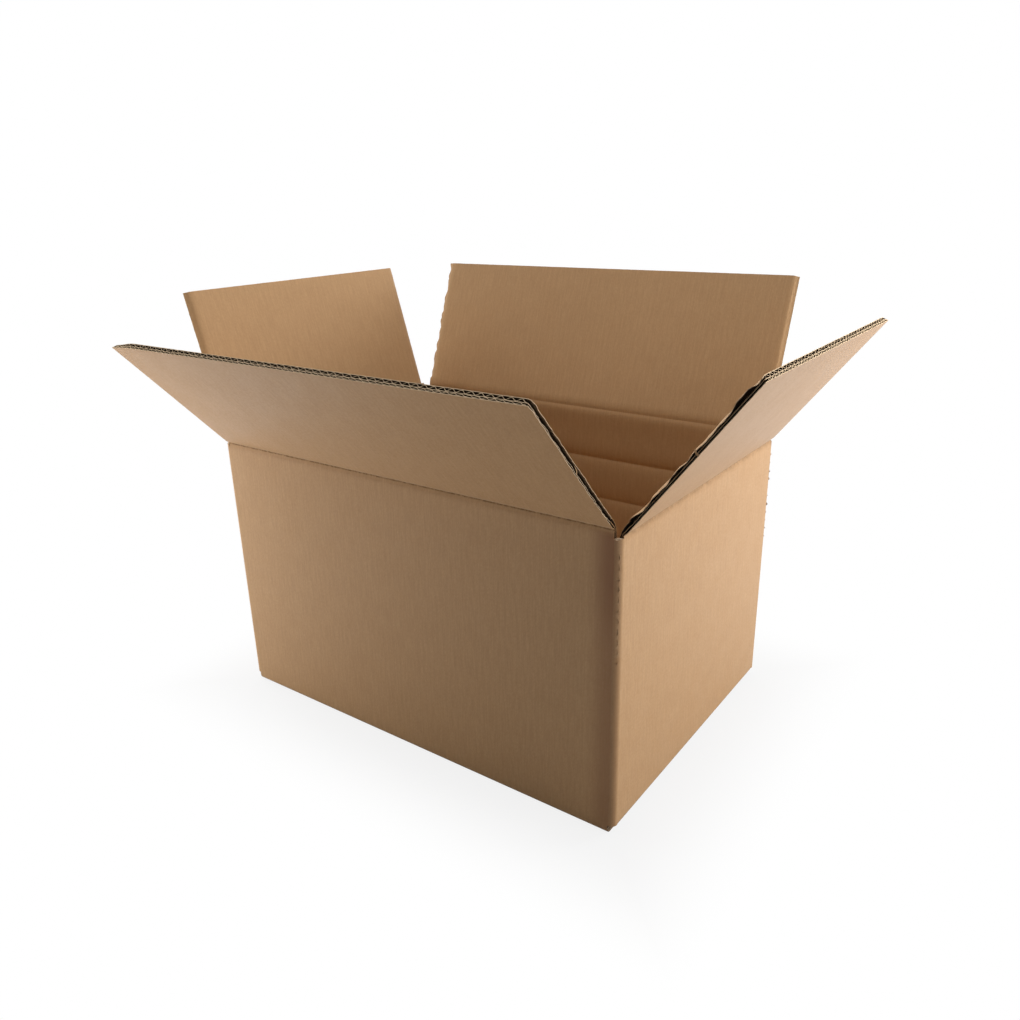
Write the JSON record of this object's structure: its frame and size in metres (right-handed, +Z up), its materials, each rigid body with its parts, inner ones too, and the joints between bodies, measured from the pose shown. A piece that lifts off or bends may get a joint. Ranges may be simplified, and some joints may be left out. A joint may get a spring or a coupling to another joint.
{
  "type": "open cardboard box",
  "caption": "Open slotted shipping box of brown double-wall corrugated board with hinged top flaps standing open, inside height scores and perforated corners.",
  "frame": {"origin": "middle of the box's underside, on the ground", "axes": "+X along the box's length, -Y out of its front wall, +Z up"},
  "size_m": [0.6207, 0.4983, 0.4416],
  "materials": {
    "kraft_wall": "matte",
    "kraft_flap": "matte"
  },
  "bodies": {
    "body": {"body": "kraft_wall"},
    "front_flap": {"front_flap": "kraft_flap"},
    "back_flap": {"back_flap": "kraft_flap"},
    "left_flap": {"left_flap": "kraft_flap"},
    "right_flap": {"right_flap": "kraft_flap"}
  },
  "joints": [
    {"name": "front_fold", "type": "hinge", "parent": "body", "child": "front_flap", "pos_m": [0, -0.16385, 0.2867], "axis": [-1, 0, 0], "range_deg": [-122, 133]},
    {"name": "back_fold", "type": "hinge", "parent": "body", "child": "back_flap", "pos_m": [0, 0.16385, 0.2867], "axis": [1, 0, 0], "range_deg": [-144.5, 110.5]},
    {"name": "left_fold", "type": "hinge", "parent": "body", "child": "left_flap", "pos_m": [-0.2371, 0, 0.2808], "axis": [0, 1, 0], "range_deg": [-149, 106]},
    {"name": "right_fold", "type": "hinge", "parent": "body", "child": "right_flap", "pos_m": [0.2371, 0, 0.2808], "axis": [0, -1, 0], "range_deg": [-127.5, 127.5]}
  ]
}
